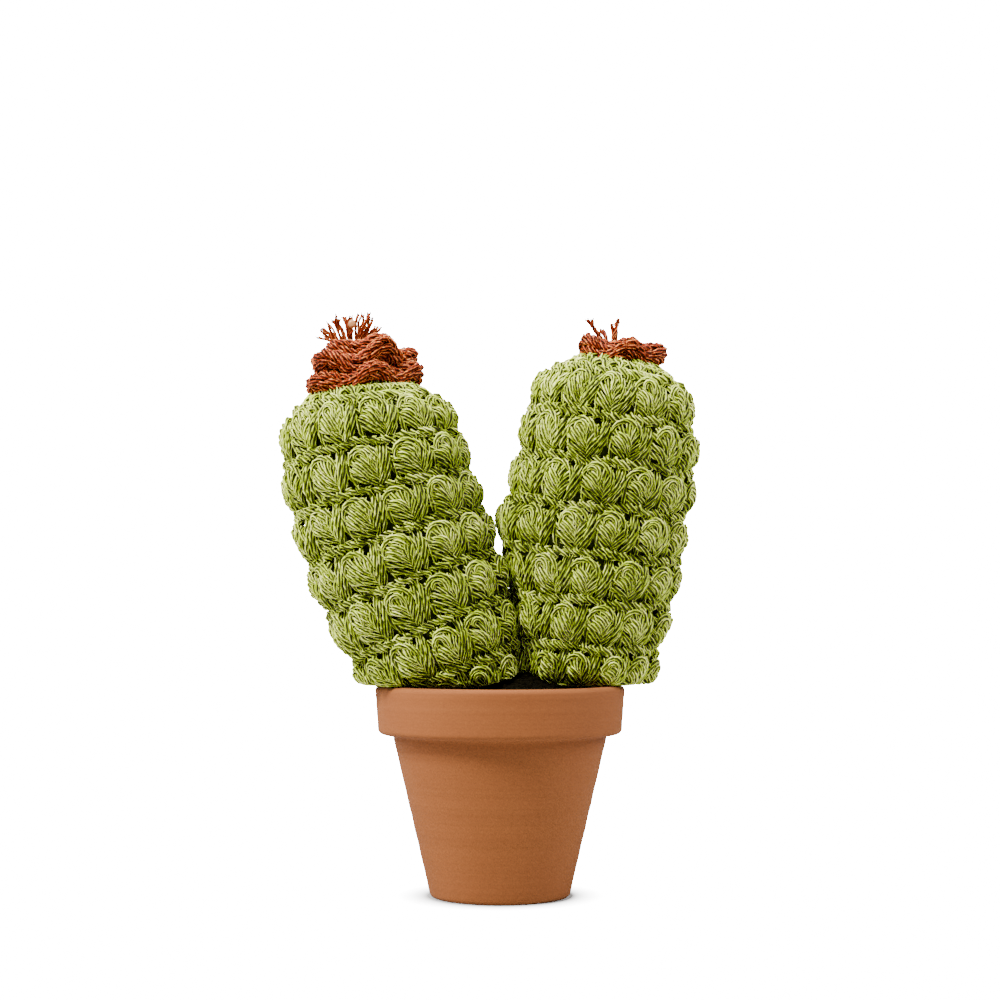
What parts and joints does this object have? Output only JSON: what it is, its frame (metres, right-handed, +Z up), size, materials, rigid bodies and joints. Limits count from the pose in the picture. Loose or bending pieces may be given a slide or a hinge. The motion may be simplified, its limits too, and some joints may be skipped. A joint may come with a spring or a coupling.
{
  "type": "crocheted cactus in a terracotta pot",
  "caption": "Stuffed crocheted cactus with bobble-stitched stems and ruffled crocheted flowers, standing in a small terracotta pot.",
  "frame": {"origin": "on the surface that the pot stands on, under the middle of the whole piece's footprint; the pot's axis is 2.4 mm from it along +X", "axes": "+Z up along the pot's axis, +X to the right seen from the front, the front towards -Y"},
  "size_m": [0.1322, 0.08, 0.1863],
  "materials": {
    "terracotta": "matte",
    "packing": "matte",
    "soil": "matte",
    "green_yarn": "satin",
    "wadding": "matte",
    "rust_yarn": "satin",
    "bead": "satin"
  },
  "bodies": {
    "root": {"pot": "terracotta", "pot_packing": "packing", "soil_top": "soil", "left_stem_cover": "green_yarn", "left_stem_wadding": "wadding", "right_stem_cover": "green_yarn", "right_stem_wadding": "wadding", "left_flower": "rust_yarn", "left_flower_stamens": "rust_yarn", "left_flower_bead": "bead", "right_flower": "rust_yarn", "right_flower_stamens": "rust_yarn"}
  },
  "joints": []
}
